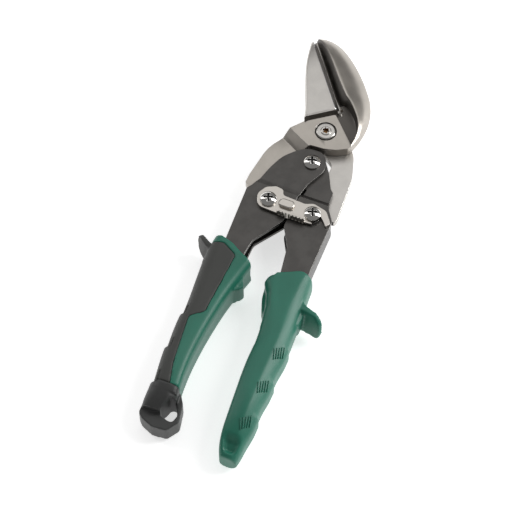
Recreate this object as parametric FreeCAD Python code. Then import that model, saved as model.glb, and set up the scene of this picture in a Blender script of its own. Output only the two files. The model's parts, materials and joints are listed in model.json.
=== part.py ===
"""Aviation snips, offset right-cut pattern, 10 inches (254 mm) long overall.

Frame: the origin is on the main bolt's axis, in the plane that the closed tool rests on.
+Z points up out of the screw heads' side, +Y towards the blades, +X to the right.
The tool lies flat. All sizes are in millimetres.
"""
import FreeCAD
import Part

import math
import os

V = FreeCAD.Vector

# ------------------------------------------------------------------ linkage
# Four pivots make a kite: main bolt, left link, middle screw, right link.
link_half = 12.4          # link screws, each side of the centre line
link_drop = 51.8          # link screws, behind the main bolt
middle_drop = 20.2        # middle screw, behind the main bolt
jaw_travel = 20.0         # how far the jaws open, degrees
latch_ratio = 2.25        # latch turn for each degree of jaw travel

# ------------------------------------------------------------------ heights
grip_thick = 23.0                     # grips rest on z = 0
mid_z = grip_thick / 2
tang_thick = 3.8                      # jaw arms, inside the handles
shear_z = mid_z + tang_thick / 2 + 0.15
jaw_gap = 0.3                         # between the two jaw plates
plate_thick = 6.0                     # each jaw plate at the main bolt
front_floor = shear_z + jaw_gap / 2
front_top = front_floor + plate_thick
rear_top = shear_z - jaw_gap / 2
rear_floor = rear_top - plate_thick
tang_floor = mid_z - tang_thick / 2
tang_top = mid_z + tang_thick / 2

# ------------------------------------------------------------------ handles
sheet = 1.8                           # pressed steel of both handles
lobe_gap = 0.3                        # between the two handles' ears
arm_gap = 0.4                         # between a jaw arm and the inner ear
channel_step = 0.6                    # how far the cheeks step outwards
left_lobe_half = tang_thick / 2 + arm_gap + 2 * sheet + lobe_gap    # left handle's ears, half depth
right_lobe_half = left_lobe_half - sheet - lobe_gap
channel_half = left_lobe_half + channel_step
lobe_radius = 8.0                     # ears round the middle screw
bend_y = -39.5                        # where the cheeks step outwards
bend_length = 3.2
handle_end = 169.0                    # how far the steel reaches inside the grips
under_rise = 4.0                      # left handle: the lower cheek is cut back this far inside

# ------------------------------------------------------------------ screws
run_fit = 0.05                        # radial clearance of a running fit
snug = 0.02                           # radial clearance of a fixed fit
bolt_radius = 3.8
bolt_head_radius = 5.2
bolt_recess_radius = 5.9
bolt_recess_depth = 1.6
link_radius = 2.7
link_head_radius = 4.4
link_head_height = 2.9
middle_play = 0.6                     # open pivot of the linkage, radial
nut_height = 3.2
nut_flats = 8.0
main_nut_height = 5.0
main_nut_flats = 13.0

# ------------------------------------------------------------------ latch
latch_thick = 1.6
latch_lift = 0.4                      # latch above the handle's cheek
hook_clear = 0.35                     # latch hook round the right screw's neck
flange_out = 6.2                      # thumb flange, this side of the link screws
flange_rise = 2.4

# ------------------------------------------------------------------ blades
blade_lean = 36.3                     # blades lean left of the handles, degrees
shear_u = 11.8                        # cut line, right of the bolt in the blades' own frame
blade_reach = 63.0                    # tip beyond the bolt, along the cut line
blade_lap = 2.4                       # rear blade runs under the front one
ridge_z = 24.0

# ------------------------------------------------------------------ grips
grip_top = 86.0                       # grips start this far behind the bolt
grip_end = 190.0                      # and end here
eye_thick = 11.0                      # lanyard eye of the left grip

left_link = V(-link_half, -link_drop, 0)
right_link = V(link_half, -link_drop, 0)
middle = V(0, -middle_drop, 0)


# ================================================================== helpers
def cylinder(centre, radius, z_low, z_high):
    return Part.makeCylinder(radius, z_high - z_low, V(centre.x, centre.y, z_low))


def box(x_low, x_high, y_low, y_high, z_low, z_high):
    return Part.makeBox(x_high - x_low, y_high - y_low, z_high - z_low, V(x_low, y_low, z_low))


def outline(points):
    """Closed wire through (x, y, round) corners; round is the corner's radius, 0 for sharp."""
    corners = [V(p[0], p[1], 0) for p in points]
    rounds = [p[2] if len(p) > 2 else 0 for p in points]
    count = len(corners)
    starts, ends, edges = [], [], []
    for i in range(count):
        corner = corners[i]
        back = (corners[i - 1] - corner).normalize()
        ahead = (corners[(i + 1) % count] - corner).normalize()
        half = back.getAngle(ahead) / 2
        reach = rounds[i] / math.tan(half) if rounds[i] else 0
        starts.append(corner + back * reach)
        ends.append(corner + ahead * reach)
        if rounds[i]:
            bisector = (back + ahead).normalize()
            middle_point = corner + bisector * (rounds[i] / math.sin(half) - rounds[i])
            edges.append(Part.Arc(starts[i], middle_point, ends[i]).toShape())
        edges.append(None)
    wire_edges = []
    i = 0
    for edge in edges:
        if edge is None:
            here, there = ends[i], starts[(i + 1) % count]
            if here.distanceToPoint(there) > 1e-6:
                wire_edges.append(Part.makeLine(here, there))
            i += 1
        else:
            wire_edges.append(edge)
    return Part.Wire(Part.__sortEdges__(wire_edges))


def prism(points, z_low, z_high):
    face = Part.Face(outline(points))
    solid = face.extrude(V(0, 0, z_high - z_low))
    solid.translate(V(0, 0, z_low))
    return solid


def strip(points, direction, half_width):
    """Solid swept sideways from a closed (distance, z) profile that runs along direction."""
    along = V(direction[0], direction[1], 0).normalize()
    side = V(-along.y, along.x, 0)
    start = side * -half_width
    ring = [start + along * p[0] + V(0, 0, p[1]) for p in points]
    face = Part.Face(Part.makePolygon(ring + [ring[0]]))
    return face.extrude(side * (2 * half_width))


def fuse(shapes):
    whole = shapes[0].multiFuse(shapes[1:]) if len(shapes) > 1 else shapes[0]
    return whole.removeSplitter()


def mirror_mid(shape):
    """Copy of a shape on the other side of the tool's middle plane."""
    return shape.mirror(V(0, 0, mid_z), V(0, 0, 1))


def blade_point(v, u, z=0.0):
    """Point from the blades' own frame: v along the cut line, u across it."""
    lean = math.radians(blade_lean)
    x = u * math.cos(lean) - v * math.sin(lean)
    y = u * math.sin(lean) + v * math.cos(lean)
    return V(x, y, z)


def blade_outline(points):
    """(v, u, round) corners turned into (x, y, round) corners."""
    placed = []
    for point in points:
        spot = blade_point(point[0], point[1])
        placed.append((spot.x, spot.y, point[2] if len(point) > 2 else 0))
    return placed


def loft(sections):
    """Straight-sided loft through closed (v, u, z) polygons of the blades' frame."""
    wires = []
    for section in sections:
        ring = [blade_point(*corner) for corner in section]
        wires.append(Part.makePolygon(ring + [ring[0]]))
    return Part.makeLoft(wires, True, True)


def spin(profile, centre):
    """Turned part from a closed (radius, z) profile."""
    ring = [V(p[0], 0, p[1]) for p in profile]
    face = Part.Face(Part.makePolygon(ring + [ring[0]]))
    solid = face.revolve(V(0, 0, 0), V(0, 0, 1), 360)
    solid.translate(V(centre.x, centre.y, 0))
    return solid


def hexagon(centre, flats, z_low, z_high, hole):
    corner = flats / math.sqrt(3)
    points = []
    for i in range(6):
        angle = math.radians(60 * i + 30)
        points.append((centre.x + corner * math.cos(angle), centre.y + corner * math.sin(angle)))
    return prism(points, z_low, z_high).cut(cylinder(centre, hole, z_low - 1, z_high + 1))


# ================================================================== linkage sums
link_arm = math.hypot(link_half, link_drop)
handle_arm = math.hypot(link_half, link_drop - middle_drop)
arm_angle = math.degrees(math.atan2(link_half, link_drop))
handle_angle = math.degrees(math.atan2(link_half, link_drop - middle_drop))


def handle_turn(jaw):
    """Turn of each handle from its closed place, for a jaw opening in degrees."""
    half_span = link_arm * math.sin(math.radians(arm_angle + jaw / 2))
    return math.degrees(math.asin(half_span / handle_arm)) - handle_angle


def link_span(jaw):
    """Distance between the two link screws for a jaw opening in degrees."""
    return 2 * link_arm * math.sin(math.radians(arm_angle + jaw / 2))


handle_ratio = (handle_turn(jaw_travel) - jaw_travel / 2) / jaw_travel


def hook_path(steps=10):
    """Way of the right link screw, seen from the latch, as the jaws open."""
    path = []
    for i in range(steps + 1):
        jaw = jaw_travel * i / steps
        own_turn = jaw / 2 + handle_ratio * jaw
        angle = math.radians(own_turn - latch_ratio * jaw)
        span = link_span(jaw)
        path.append(left_link + V(span * math.cos(angle), span * math.sin(angle), 0))
    return path


# ================================================================== jaws
def tang(side, outer):
    """Plan of one jaw arm, from the bolt to its link screw; side is -1 for left, 1 for right."""
    link_x, link_y = side * link_half, -link_drop
    return [(side * x, y, r) for x, y, r in outer] + [
        (side * 21.0, link_y + 4.0, 2),
        (link_x + side * 5.5, link_y - 6.5, 4),
        (link_x - side * 4.5, link_y - 7.5, 4),
        (link_x - side * 6.5, link_y + 6.5, 4),
        (side * 10.6, -37.0, 4),
        (side * 9.8, -24.0, 6),
        (side * 9.6, -15.0, 3),
        (side * 4.0, -11.0, 0),
    ]


def left_tang():
    """Left arm's plan: its outer edge swells past the handle and ends in a square corner."""
    return tang(-1, [
        (13.0, 2.0, 0), (19.4, -5.7, 22), (26.6, -17.4, 26), (29.3, -37.0, 14),
        (29.4, -link_drop + 9.6, 1), (27.4, -link_drop + 7.6, 1), (24.0, -link_drop + 7.8, 0),
    ])


def right_tang():
    """Right arm's plan: slimmer, its corner shows beside the right handle."""
    return tang(1, [
        (13.0, 2.0, 0), (18.6, -6.0, 14), (22.6, -19.0, 26), (24.3, -link_drop + 6.0, 0),
        (23.6, -link_drop + 3.4, 1),
    ])


def front_jaw():
    """Front plate: hollow-ground right blade above the bolt, left arm below it."""
    plate = prism(blade_outline([
        (9.15, -9.7, 4), (9.15, 8.0, 1), (-12.8, 10.9, 1), (-13.6, 8.3, 2),
        (-12.9, 2.2, 10), (-10.5, -3.9, 14), (-6.4, -10.2, 0), (-2.0, -13.6, 4),
    ]), front_floor, front_top)
    step = [
        (-20, front_floor), (-20, front_top), (13.0, front_top), (17.6, tang_top),
        (70, tang_top), (70, tang_floor), (15.5, tang_floor), (11.8, front_floor),
    ]
    arm = strip(step, (-0.462, -0.887), 60).common(prism(left_tang(), 0, ridge_z))
    floor_outline = blade_outline([
        (16.0, 12.3, 0), (16.0, 26.0, 0), (7.7, 25.5, 4), (-1.0, 21.0, 8), (-8.0, 15.5, 8),
        (-12.8, 10.4, 0), (-10.0, 6.0, 0), (8.0, 6.0, 0), (9.5, 12.3, 1),
    ])
    floor = prism(floor_outline, front_floor, front_floor + 2.6)
    low = front_floor
    # each section: cut edge, ridge, swell of the back, outer edge, foot of the outer edge
    beak = loft([
        [(v, shear_u + 0.35, low), (v, ridge, z), (v, ridge + 0.55 * (edge - ridge), z - drop),
         (v, edge, low + 1.6), (v, edge - 0.4, low)]
        for v, ridge, z, drop, edge in (
            (blade_reach, 12.9, low + 2.4, 0.4, 14.2),
            (blade_reach - 2.4, 13.6, low + 5.0, 1.0, 19.4),
            (blade_reach - 7.4, 14.3, low + 7.2, 1.8, 23.4),
            (blade_reach - 14.0, 14.9, ridge_z - 1.4, 2.2, 25.9),
            (blade_reach - 24.0, 15.2, ridge_z - 0.4, 2.4, 28.1),
            (blade_reach - 36.0, 15.3, ridge_z, 2.5, 29.3),
            (16.0, 16.2, ridge_z, 2.5, 29.0),
        )
    ])
    wall = loft([
        [(v, ridge - 0.9, low), (v, ridge, z), (v, ridge + 0.55 * (edge - ridge), z - drop),
         (v, edge, low + 1.6), (v, edge - 0.4, low)]
        for v, ridge, z, drop, edge in (
            (16.0, 17.2, ridge_z, 2.5, 29.0),
            (7.7, 18.1, ridge_z - 0.8, 2.0, 27.4),
            (-1.0, 18.3, ridge_z - 2.0, 1.4, 23.2),
            (-8.0, 14.6, ridge_z - 3.8, 0.6, 17.0),
            (-12.8, 9.6, front_top, 0.2, 11.2),
        )
    ])
    body = fuse([plate, arm, floor, beak, wall])
    recess = cylinder(V(0, 0, 0), bolt_recess_radius, front_top - bolt_recess_depth, front_top + 1)
    bore = cylinder(V(0, 0, 0), bolt_radius + run_fit, 0, front_top + 1)
    link_bore = cylinder(left_link, link_radius + run_fit, 0, front_top)
    relief = blade_point(13.0, 12.4)
    notch = cylinder(relief, 1.2, front_floor - 1, front_top)
    return body.cut(recess).cut(bore).cut(link_bore).cut(notch)


def rear_jaw():
    """Rear plate: straight left blade above the bolt, right arm below it."""
    plate = cylinder(V(0, 0, 0), 11.0, rear_floor, rear_top)
    neck = prism(blade_outline([
        (13.5, -8.2, 0), (13.5, shear_u, 0), (4.0, 13.5, 4), (-6.0, 9.5, 4), (-9.0, -2.0, 4),
        (2.0, -10.6, 4),
    ]), rear_floor, rear_top)
    arm = prism(right_tang(), tang_floor, rear_top)
    root = prism([
        (13.0, 2.0, 0), (19.2, -8.6, 4), (18.0, -14.0, 3), (9.8, -13.0, 0), (4.0, -10.4, 0),
        (0.0, 0.0, 0),
    ], rear_floor, rear_top)
    low = rear_floor - 2.0
    foot = shear_u - 0.35
    blade = loft([
        [(v, left + 0.6, low), (v, left, low + 1.2), (v, left, z - 1.2), (v, left + 0.8, z - 0.3),
         (v, face, z), (v, foot, rear_top),
         (v, shear_u + lap, rear_top), (v, shear_u + lap - 1.0, low + 1.5)]
        for v, left, face, z, lap in (
            (blade_reach - 0.6, 8.6, 10.2, rear_top + 1.8, 0.3),
            (blade_reach - 5.4, 6.4, 8.6, rear_top + 4.2, blade_lap - 1.2),
            (blade_reach - 12.0, 3.2, 8.2, rear_top + 5.4, blade_lap),
            (blade_reach - 19.0, 0.5, 8.1, rear_top + 5.8, blade_lap),
            (blade_reach - 29.5, -2.5, 8.1, rear_top + 5.8, blade_lap),
            (22.0, -5.1, 8.1, rear_top + 5.8, blade_lap),
            (12.7, -8.6, 8.3, rear_top + 5.8, blade_lap),
        )
    ])
    body = fuse([plate, neck, arm, root, blade])
    bore = cylinder(V(0, 0, 0), bolt_radius + snug, 0, front_top)
    link_bore = cylinder(right_link, link_radius + run_fit, 0, front_top)
    return body.cut(bore).cut(link_bore)


# ================================================================== handles
def cheek(plan, lobe_half):
    """Upper cheek of one handle: sheet that steps outwards at the bend line."""
    upper = [
        (0, mid_z + lobe_half - sheet), (0, mid_z + lobe_half),
        (-bend_y, mid_z + lobe_half), (-bend_y + bend_length, mid_z + channel_half),
        (handle_end + 5, mid_z + channel_half), (handle_end + 5, mid_z + channel_half - sheet),
        (-bend_y + bend_length, mid_z + channel_half - sheet), (-bend_y, mid_z + lobe_half - sheet),
    ]
    sheet_solid = strip(upper, (0, -1), 60)
    return sheet_solid.common(prism(plan, mid_z, mid_z + grip_thick))


def left_plan(rise=0.0):
    """Plan of the left handle; rise lifts the inner edge between the legs."""
    return [
        (-5.0, -middle_drop + lobe_radius, 9), (5.4, -middle_drop + lobe_radius, 6.5),
        (8.2, -middle_drop - 2.4, 7), (2.8, -34.0, 14), (0.9, -44.0, 8), (-0.9, -60.5 + rise, 4),
        (-11.2 - rise / 4, -77.0 + rise, 6), (-12.4, -90.0, 0), (-15.0, -handle_end, 2),
        (-25.2, -handle_end, 2), (-24.6, -80.0, 0), (-26.2, -48.0, 0), (-24.5, -45.6, 1),
        (-22.0, -40.0, 12), (-19.6, -31.0, 30), (-16.2, -22.4, 16), (-10.6, -16.2, 14),
    ]


def right_plan():
    return [
        (-6.0, -middle_drop + 6.5, 4), (4.0, -middle_drop + lobe_radius - 0.5, 5),
        (10.5, -22.0, 20), (15.0, -31.2, 6), (16.8, -32.6, 0.8), (17.8, -43.0, 10), (23.2, -51.0, 5),
        (23.4, -84.0, 0), (26.2, -handle_end, 2), (15.5, -handle_end, 2), (9.6, -90.0, 0),
        (7.0, -74.0, 6), (0.7, -62.5, 4), (1.6, -44.0, 4), (3.4, -36.2, 2), (-3.0, -31.0, 4),
    ]


def web(points):
    """Outer wall of a channel: a ribbon of sheet along the handle's outer edge."""
    return prism(points, mid_z - channel_half, mid_z + channel_half)


def left_handle():
    wall = web([
        (-26.17, -48.5, 0), (-26.17 + sheet, -48.5, 0), (-24.6 + sheet, -80.0, 0),
        (-25.2 + sheet, -handle_end, 0), (-25.2, -handle_end, 0), (-24.6, -80.0, 0),
    ])
    upper = cheek(left_plan(), left_lobe_half)
    lower = mirror_mid(cheek(left_plan(under_rise), left_lobe_half))
    body = fuse([upper, lower, wall])
    link_hole = cylinder(left_link, link_radius + snug, 0, grip_thick)
    middle_hole = cylinder(middle, link_radius + middle_play, 0, grip_thick)
    return body.cut(link_hole).cut(middle_hole)


def right_handle():
    wall = web([
        (23.21, -52.5, 0), (23.21 - sheet, -52.5, 0), (23.4 - sheet, -84.0, 0),
        (26.2 - sheet, -handle_end, 0), (26.2, -handle_end, 0), (23.4, -84.0, 0),
    ])
    upper = cheek(right_plan(), right_lobe_half)
    body = fuse([upper, mirror_mid(upper), wall])
    link_hole = cylinder(right_link, link_radius + snug, 0, grip_thick)
    middle_hole = cylinder(middle, link_radius + snug, 0, grip_thick)
    return body.cut(link_hole).cut(middle_hole)


# ================================================================== screws and nuts
def cross_recess(centre, top, depth):
    long, short = 5.0, 1.1
    bars = [
        box(-long / 2, long / 2, -short / 2, short / 2, top - depth, top + 1),
        box(-short / 2, short / 2, -long / 2, long / 2, top - depth, top + 1),
    ]
    cross = fuse(bars)
    cross.rotate(V(0, 0, 0), V(0, 0, 1), 20)
    cross.translate(V(centre.x, centre.y, 0))
    return cross


def dome_screw(centre, seat, foot):
    """Screw with a domed cross head that sits at seat, its shank down to foot."""
    head = cylinder(centre, link_head_radius, seat, seat + 0.9)
    ball = (link_head_radius ** 2 + (link_head_height - 0.9) ** 2) / (2 * (link_head_height - 0.9))
    dome = Part.makeSphere(ball, V(centre.x, centre.y, seat + link_head_height - ball))
    dome = dome.common(cylinder(centre, link_head_radius, seat + 0.9, seat + link_head_height + 1))
    shank = cylinder(centre, link_radius, foot, seat)
    recess = cross_recess(centre, seat + link_head_height, 1.7)
    return fuse([head, dome, shank]).cut(recess)


latch_floor = mid_z + channel_half + latch_lift
latch_top = latch_floor + latch_thick
link_seat = latch_top + 0.15
nut_top = mid_z - channel_half
link_foot = nut_top - nut_height - 0.6


def left_link_screw():
    return dome_screw(left_link, link_seat, link_foot)


def right_link_screw():
    screw = dome_screw(right_link, link_seat, link_foot)
    collar = cylinder(right_link, link_head_radius - 0.2, mid_z + channel_half, latch_floor - 0.1)
    return fuse([screw, collar])


def middle_screw():
    return dome_screw(middle, mid_z + left_lobe_half + 0.15, mid_z - left_lobe_half - nut_height - 0.6)


def link_nut(centre, top):
    return hexagon(centre, nut_flats, top - nut_height, top, link_radius + snug)


def main_bolt():
    """Flat-headed pivot bolt with a raised hub and a six-lobe socket."""
    seat = front_top - bolt_recess_depth + 0.55
    head_top = front_top + 0.5
    head = spin([
        (0, seat), (bolt_head_radius, seat), (bolt_head_radius, head_top - 0.5),
        (bolt_head_radius - 0.5, head_top), (2.9, head_top), (2.5, head_top + 0.5), (0, head_top + 0.5),
    ], V(0, 0, 0))
    shank = cylinder(V(0, 0, 0), bolt_radius, 0, seat)
    socket = cylinder(V(0, 0, 0), 1.25, seat + 0.1, head_top + 2)
    for i in range(6):
        angle = math.radians(60 * i)
        lobe = V(1.35 * math.cos(angle), 1.35 * math.sin(angle), 0)
        socket = socket.fuse(cylinder(lobe, 0.5, seat + 0.1, head_top + 2))
    return fuse([head, shank]).cut(socket)


def head_washer():
    low = front_top - bolt_recess_depth + 0.1
    return cylinder(V(0, 0, 0), bolt_recess_radius - 0.15, low, low + 0.4).cut(
        cylinder(V(0, 0, 0), bolt_radius + snug, low - 1, low + 2))


def main_washer():
    return cylinder(V(0, 0, 0), 7.5, rear_floor - 1.2, rear_floor).cut(
        cylinder(V(0, 0, 0), bolt_radius + snug, 0, rear_floor + 1))


def main_nut():
    top = rear_floor - 1.2
    return hexagon(V(0, 0, 0), main_nut_flats, top - main_nut_height, top, bolt_radius + snug)


def side_washers(link):
    """Two spacers that centre a jaw arm between the cheeks of its handle."""
    gap = 0.15
    upper = cylinder(link, 6.2, tang_top + gap, mid_z + channel_half - sheet)
    upper = upper.cut(cylinder(link, link_radius + snug, 0, grip_thick))
    return Part.makeCompound([upper, mirror_mid(upper)])


def middle_spacer():
    half = right_lobe_half - sheet
    sleeve = cylinder(middle, 3.9, mid_z - half, mid_z + half)
    return sleeve.cut(cylinder(middle, link_radius + snug, 0, grip_thick))


# ================================================================== spring
spring_wire = 1.0
spring_radius = 5.2
spring_pitch = 1.15
spring_turns = 1.5
spring_leg = 13.0
pin_radius = 1.5
pin_x = spring_radius + spring_wire / 2 + pin_radius + 0.05
pin_y = -middle_drop - spring_leg + 1.5
left_pin = V(-pin_x, pin_y, 0)
right_pin = V(pin_x, pin_y, 0)


def spring_pin(centre, half):
    return cylinder(centre, pin_radius, mid_z - half, mid_z + half)


def return_spring():
    """Torsion spring round the middle spacer; its two legs push the handles' pins apart."""
    height = spring_pitch * spring_turns
    helix = Part.makeHelix(spring_pitch, height, spring_radius)
    helix.translate(V(middle.x, middle.y, mid_z - height / 2))
    slope = math.atan2(spring_pitch, 2 * math.pi * spring_radius)
    run = V(0, spring_leg * math.cos(slope), spring_leg * math.sin(slope))
    first = V(middle.x + spring_radius, middle.y, mid_z - height / 2)
    last = V(middle.x - spring_radius, middle.y, mid_z + height / 2)
    tail = V(0, -run.y, run.z)
    path = Part.Wire([Part.makeLine(first - run, first)] + helix.Edges + [Part.makeLine(last, last + tail)])
    ring = Part.Wire(Part.makeCircle(spring_wire / 2, first - run, run))
    return path.makePipeShell([ring], True, True)


# ================================================================== latch
def latch_plate():
    """Lock hook: round end on the left screw, slot over the neck of the right one."""
    left, right = left_link, right_link
    plan = [
        (left.x - 6.8, left.y + 1.5, 5), (left.x - 4.0, left.y + 6.9, 4),
        (left.x + 1.0, left.y + 9.2, 2), (left.x + 5.2, left.y + 8.6, 2),
        (left.x + 6.2, left.y + 5.4, 2), (right.x - 6.0, right.y + 4.6, 3),
        (right.x - 1.5, right.y + 6.4, 3), (right.x + 6.0, right.y + 4.6, 4),
        (right.x + 10.6, right.y - 1.4, 1.5), (right.x + 9.0, right.y - 4.4, 2),
        (right.x + 4.8, right.y - 5.6, 1), (right.x + 1.6, right.y - 5.6, 1),
        (right.x - 2.3, right.y - flange_out + 0.2, 0.4), (left.x + 7.0, left.y - flange_out + 0.2, 0.8),
        (left.x - 4.4, left.y - 5.4, 5),
    ]
    plate = prism(plan, latch_floor, latch_top)
    flange = prism([
        (left.x + 7.0, left.y - flange_out, 0.4), (left.x + 7.0, left.y - flange_out + latch_thick, 0.4),
        (right.x - 2.4, right.y - flange_out + latch_thick + 0.2, 0.4),
        (right.x - 2.4, right.y - flange_out, 0.4),
    ], latch_floor, latch_top + flange_rise)
    teeth = []
    for i in range(9):
        x = left.x + 8.4 + 1.9 * i
        teeth.append(Part.makeCylinder(0.45, 6, V(x, left.y - flange_out, latch_top - 1.2)))
    hole = cylinder(left, link_radius + run_fit, latch_floor - 1, latch_top + 1)
    body = fuse([plate, flange]).cut(hole)
    for tooth in teeth:
        body = body.cut(tooth)
    path = hook_path()
    reach = link_radius + hook_clear
    for i, spot in enumerate(path):
        body = body.cut(cylinder(spot, reach, latch_floor - 1, latch_top + 4))
        if i:
            way = spot - path[i - 1]
            side = V(-way.y, way.x, 0).normalize() * reach
            corners = [path[i - 1] + side, spot + side, spot - side, path[i - 1] - side]
            body = body.cut(prism([(c.x, c.y, 0) for c in corners], latch_floor - 1, latch_top + 4))
    return body


def latch_button():
    """Low oval boss riveted to the middle of the latch."""
    centre = V(-2.2, -link_drop + 0.4, 0)
    button = prism([
        (centre.x - 4.4, centre.y - 2.6, 2.5), (centre.x + 4.4, centre.y - 2.6, 2.5),
        (centre.x + 4.4, centre.y + 2.6, 2.5), (centre.x - 4.4, centre.y + 2.6, 2.5),
    ], latch_top, latch_top + 1.8)
    rim = [edge for edge in button.Edges if abs(edge.BoundBox.ZMin - latch_top - 1.8) < 1e-6]
    return button.makeFillet(0.9, rim)


def latch_washer():
    low = mid_z + channel_half
    return cylinder(left_link, 5.4, low, low + latch_lift - 0.1).cut(
        cylinder(left_link, link_radius + snug, low - 1, low + 2))


# ================================================================== grips
def rounded_section(y, x_low, x_high, z_low, z_high, r):
    """Rounded rectangle across a grip, in the plane of one y."""
    points = [(x_low, z_low), (x_high, z_low), (x_high, z_high), (x_low, z_high)]
    flat = outline([(p[0], p[1], r) for p in points])
    matrix = FreeCAD.Matrix(1, 0, 0, 0, 0, 0, 0, y, 0, 1, 0, 0, 0, 0, 0, 1)
    return flat.transformGeometry(matrix)


def grip_body(stations):
    wires = [rounded_section(-y, lo, hi, zl, zh, r) for y, lo, hi, zl, zh, r in stations]
    return Part.makeLoft(wires, True, False)


def left_blank():
    """Whole left grip before it is split into core, soft cover and end cap."""
    body = grip_body([
        (grip_top - 8.0, -29.4, -6.5, 2.5, grip_thick - 0.8, 5),
        (grip_top + 6.0, -30.6, -6.0, 0.8, grip_thick - 0.2, 6.5),
        (grip_top + 18.0, -30.2, -8.6, 0.4, grip_thick - 0.4, 7.5),
        (grip_top + 30.0, -29.2, -10.8, 0.4, grip_thick - 0.4, 7.5),
        (grip_top + 50.0, -29.2, -12.9, 0.4, grip_thick - 0.4, 7.5),
        (grip_top + 70.0, -28.6, -13.4, 0.4, grip_thick - 0.4, 7.5),
        (grip_end - 18.0, -27.6, -12.2, 0.5, grip_thick - 2.0, 6.5),
        (grip_end - 6.0, -27.2, -9.0, 1.5, 17.0, 4.5),
    ])
    collar = prism([
        (-40.0, -60.0, 0), (10.0, -60.0, 0), (10.0, -96.5, 0), (-7.4, -91.4, 0), (-19.0, -84.4, 6),
        (-26.0, -82.2, 6), (-34.0, -82.6, 0), (-40.0, -82.6, 0),
    ], -5, grip_thick + 5)
    return body.cut(collar)


def rubber_zone():
    """Everything left of the seam between the soft cover and the hard core."""
    return prism([
        (-60, -60, 0), (-60, -grip_end + 20, 0), (-17.6, -grip_end + 20, 0), (-20.3, -159.0, 3),
        (-23.4, -132.2, 3), (-17.0, -127.0, 3), (-14.9, -90.8, 2), (-23.0, -grip_top - 0.2, 2),
        (-40.0, -grip_top - 2.4, 0),
    ], -5, grip_thick + 5)


def left_fin():
    """Thumb fin of the soft cover, outside the grip's body."""
    fin = prism([
        (-26.0, -87.0, 1), (-31.0, -86.2, 3), (-37.2, -81.8, 2), (-40.2, -83.2, 1.6),
        (-38.4, -90.0, 5), (-31.5, -98.0, 3), (-26.0, -99.0, 1),
    ], mid_z - 5.0, mid_z + 6.0)
    return fin.cut(box(-29, -10, -110, -70, -1, grip_thick + 1))


def left_skin():
    """Soft cover without its fin: the seam zone of the grip, outside the steel channel."""
    channel = prism(left_plan(), mid_z - channel_half, mid_z + channel_half)
    return left_blank().common(rubber_zone()).cut(channel).cut(left_handle())


def left_overmould():
    return fuse([left_skin(), left_fin()])


def left_grip():
    core = left_blank().cut(left_skin()).cut(left_fin()).cut(left_handle())
    core = core.cut(box(-60, 0, -grip_end - 20, -grip_end + 20, -5, grip_thick + 5))
    guard = prism([
        (-11.0, -97.5, 1), (-8.0, -98.5, 1), (-5.0, -103.6, 1.5), (-6.6, -106.2, 1), (-11.0, -109.0, 1),
    ], mid_z - 7.0, mid_z + 6.0).cut(left_handle())
    return fuse([core, guard])


def end_loop():
    cap = left_blank().common(box(-60, 0, -grip_end - 20, -grip_end + 20, -5, grip_thick + 5))
    eye = prism([
        (-27.6, -grip_end + 12.0, 3), (-27.6, -grip_end + 3.2, 2.5), (-25.0, -grip_end + 0.8, 2),
        (-18.6, -grip_end - 1.8, 3), (-10.8, -grip_end - 1.2, 3), (-6.6, -grip_end + 5.4, 3),
        (-8.8, -grip_end + 15.5, 4), (-12.4, -grip_end + 21.0, 0), (-20.0, -grip_end + 21.0, 0),
    ], 1.5, 1.5 + eye_thick)
    hole = prism([
        (-17.8, -grip_end + 5.4, 2), (-10.0, -grip_end + 3.8, 2), (-8.9, -grip_end + 8.2, 1.6),
        (-11.7, -grip_end + 14.6, 1.6), (-14.8, -grip_end + 13.8, 1.6),
    ], -5, grip_thick + 5)
    eye = eye.common(box(-60, 0, -grip_end - 20, -grip_end + 20, -5, grip_thick + 5))
    return fuse([cap, eye]).cut(hole)


def right_grip():
    """One-piece hard grip with a thumb fin on its outer side."""
    body = grip_body([
        (grip_top - 6.0, 3.0, 27.0, 2.0, grip_thick - 1.0, 5),
        (grip_top + 11.0, 3.6, 27.4, 0.6, grip_thick, 6.5),
        (grip_top + 21.0, 6.0, 28.2, 0.4, grip_thick - 0.4, 7.5),
        (grip_top + 33.0, 10.4, 29.0, 0.4, grip_thick - 0.4, 7.5),
        (grip_top + 52.0, 12.2, 29.4, 0.4, grip_thick - 0.4, 7.5),
        (grip_top + 72.0, 13.2, 29.2, 0.4, grip_thick - 0.4, 7.5),
        (grip_end - 16.0, 14.4, 29.2, 0.4, grip_thick - 2.0, 7),
        (grip_end - 4.0, 15.8, 28.8, 0.6, 17.5, 5.5),
        (grip_end + 4.0, 18.6, 27.6, 1.6, 13.0, 4.2),
    ])
    collar = prism([
        (-10.0, -60.0, 0), (50.0, -60.0, 0), (50.0, -90.0, 0), (28.4, -88.2, 0), (20.5, -86.6, 6),
        (9.0, -92.4, 4), (2.0, -97.6, 0), (-10.0, -100.0, 0),
    ], -5, grip_thick + 5)
    fin = prism([
        (25.0, -102.0, 1), (29.5, -104.6, 2), (36.4, -106.0, 2), (38.8, -110.6, 3), (36.2, -114.4, 2),
        (31.0, -115.0, 2), (25.0, -113.5, 1),
    ], mid_z - 5.0, mid_z + 6.0)
    return fuse([body.cut(collar), fin]).cut(right_handle())


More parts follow.
